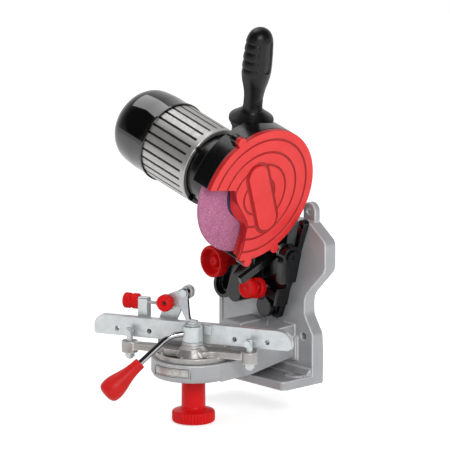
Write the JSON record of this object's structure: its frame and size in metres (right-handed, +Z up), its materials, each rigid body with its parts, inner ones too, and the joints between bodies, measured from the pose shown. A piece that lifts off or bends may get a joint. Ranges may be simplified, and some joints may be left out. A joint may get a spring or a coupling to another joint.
{
  "type": "bench saw-chain grinder",
  "caption": "Bench saw-chain grinder: a tilting, sprung pull-down head with a thin grinding wheel, over a swivelling two-rail chain vise with a cam lever and a chain stop.",
  "frame": {"origin": "midway between the two bench slots, on the foot's lower face", "axes": "+Z up, +Y from the operator towards the wall, +X to the operator's right"},
  "size_m": [0.2607, 0.2365, 0.4381],
  "materials": {
    "base_paint": "silver grey paint on die-cast aluminium",
    "scale_foil": "printed foil scale",
    "zinc_steel": "zinc-plated steel",
    "red_plastic": "moulded red plastic",
    "black_casting": "satin black paint on die-cast metal",
    "spring_steel": "bright spring wire",
    "cover_red": "moulded red plastic",
    "motor_silver": "finned aluminium tube, painted grooves",
    "cap_black": "glossy black moulding",
    "grip_black": "satin black moulding",
    "core_steel": "laminated steel",
    "bright_steel": "machined steel",
    "abrasive": "pink vitrified abrasive",
    "blotter_navy": "printed paper washer",
    "black_steel": "blackened steel",
    "cast_aluminium": "raw die-cast aluminium",
    "chrome_plate": "polished chrome plate"
  },
  "bodies": {
    "base": {"base_casting": "base_paint", "swivel_scale": "scale_foil", "tilt_pivot_bolt": "zinc_steel"},
    "tilt_lock": {"tilt_lock_knob": "red_plastic", "tilt_lock_stud": "zinc_steel"},
    "swivel_lock": {"swivel_lock_knob": "red_plastic", "swivel_stud": "zinc_steel"},
    "tilt_bracket": {"tilt_bracket": "black_casting", "hinge_pin": "black_steel", "hinge_clip": "black_steel", "return_spring": "spring_steel"},
    "depth_adjuster": {"depth_knob": "red_plastic", "depth_screw": "zinc_steel"},
    "depth_tongue": {"depth_tongue": "black_steel"},
    "depth_lock": {"depth_lock_nut": "red_plastic"},
    "head": {"head_casting": "black_casting", "wheel_cover": "cover_red", "cover_screws": "zinc_steel", "motor_tube": "motor_silver", "motor_screws": "zinc_steel", "motor_end_cap": "cap_black", "cable_gland": "cap_black", "stator": "core_steel", "front_bearing": "bright_steel", "rear_bearing": "bright_steel", "run_capacitor": "cap_black", "switch_frame": "cap_black", "handle_grip": "grip_black", "handle_stud": "zinc_steel"},
    "switch": {"switch_rocker": "cap_black"},
    "spindle": {"motor_shaft": "bright_steel", "rotor": "core_steel", "inner_flange": "bright_steel", "grinding_wheel": "abrasive", "wheel_blotters": "blotter_navy", "outer_flange": "bright_steel", "wheel_nut": "bright_steel"},
    "vise": {"vise_carrier": "cast_aluminium", "rear_rail": "zinc_steel", "rail_studs": "zinc_steel", "rail_pins": "zinc_steel", "stud_nuts": "zinc_steel", "cam_bolt": "zinc_steel", "stop_bracket": "zinc_steel"},
    "front_rail": {"front_rail": "zinc_steel"},
    "clamp_lever": {"cam_collar": "zinc_steel", "lever_rod": "chrome_plate", "lever_grip": "red_plastic"},
    "stop_adjuster": {"stop_knob": "red_plastic", "stop_rod": "zinc_steel"},
    "pawl_carriage": {"pawl_carriage": "zinc_steel", "pawl_pin": "zinc_steel"},
    "stop_lock": {"stop_lock_knob": "red_plastic", "stop_lock_screw": "zinc_steel"},
    "pawl": {"pawl": "chrome_plate"}
  },
  "joints": [
    {"name": "head_tilt", "type": "hinge", "parent": "base", "child": "tilt_bracket", "pos_m": [0, 0, 0.081], "axis": [0, 1, 0], "range_deg": [-15, 30]},
    {"name": "head_swing", "type": "hinge", "parent": "tilt_bracket", "child": "head", "pos_m": [0.01856, -0.002, 0.15026], "axis": [0.9659, 0, -0.2588], "range_deg": [0, 51.6], "stiffness_Nm_per_rad": 2.5, "springref_deg": -85.94},
    {"name": "wheel_spin", "type": "hinge", "parent": "head", "child": "spindle", "pos_m": [0.03845, -0.05867, 0.22451], "axis": [0.9659, 0, -0.2588], "continuous": true},
    {"name": "switch_press", "type": "hinge", "parent": "head", "child": "switch", "pos_m": [0.00126, -0.01967, 0.23447], "axis": [0.9659, 0, -0.2588], "range_deg": [-8, 8]},
    {"name": "tilt_lock_turn", "type": "hinge", "parent": "base", "child": "tilt_lock", "pos_m": [-0.05132, 0, 0.12561], "axis": [0, 1, 0], "range_deg": [-360, 0]},
    {"name": "swivel_lock_turn", "type": "hinge", "parent": "base", "child": "swivel_lock", "pos_m": [0, -0.105, 0], "axis": [0, 0, 1], "range_deg": [-360, 0]},
    {"name": "depth_turn", "type": "hinge", "parent": "tilt_bracket", "child": "depth_adjuster", "pos_m": [-0.00221, -0.0265, 0.10365], "axis": [-0.0449, 0.9848, -0.1677], "range_deg": [-864, 0]},
    {"name": "depth_travel", "type": "slide", "parent": "tilt_bracket", "child": "depth_tongue", "axis": [-0.0449, 0.9848, -0.1677], "range_m": [0, 0.003]},
    {"name": "depth_lock_turn", "type": "hinge", "parent": "tilt_bracket", "child": "depth_lock", "pos_m": [-0.00221, -0.0265, 0.10365], "axis": [-0.0449, 0.9848, -0.1677], "range_deg": [-360, 0]},
    {"name": "vise_swivel", "type": "hinge", "parent": "base", "child": "vise", "pos_m": [0, -0.105, 0], "axis": [0, 0, 1], "range_deg": [-60.6, 9.4]},
    {"name": "clamp_turn", "type": "hinge", "parent": "vise", "child": "clamp_lever", "pos_m": [0.01293, -0.1181, 0], "axis": [0, 0, 1], "range_deg": [-18, 14]},
    {"name": "rail_clamp", "type": "slide", "parent": "vise", "child": "front_rail", "axis": [-0.4321, 0.9018, 0], "range_m": [-0.0009, 0.0007]},
    {"name": "stop_turn", "type": "hinge", "parent": "vise", "child": "stop_adjuster", "pos_m": [-0.00497, -0.09463, 0.093], "axis": [0.9018, 0.4321, 0], "range_deg": [-1440, 0]},
    {"name": "stop_travel", "type": "slide", "parent": "vise", "child": "pawl_carriage", "axis": [0.9018, 0.4321, 0], "range_m": [-0.004, 0]},
    {"name": "stop_lock_turn", "type": "hinge", "parent": "pawl_carriage", "child": "stop_lock", "pos_m": [-0.02976, -0.11926, 0.0967], "axis": [-0.4321, 0.9018, 0], "range_deg": [-360, 0]},
    {"name": "pawl_lift", "type": "hinge", "parent": "pawl_carriage", "child": "pawl", "pos_m": [-0.00947, -0.10954, 0.11], "axis": [-0.4321, 0.9018, 0], "range_deg": [-35, 0], "stiffness_Nm_per_rad": 0.05, "springref_deg": 17.19}
  ],
  "couplings": [
    {"joint": "depth_travel", "follows": "depth_turn", "m_per_rad": -0.00019894},
    {"joint": "rail_clamp", "follows": "clamp_turn", "m_per_rad": 0.0028648},
    {"joint": "stop_turn", "follows": "stop_travel", "rad_per_m": 6283.2}
  ]
}
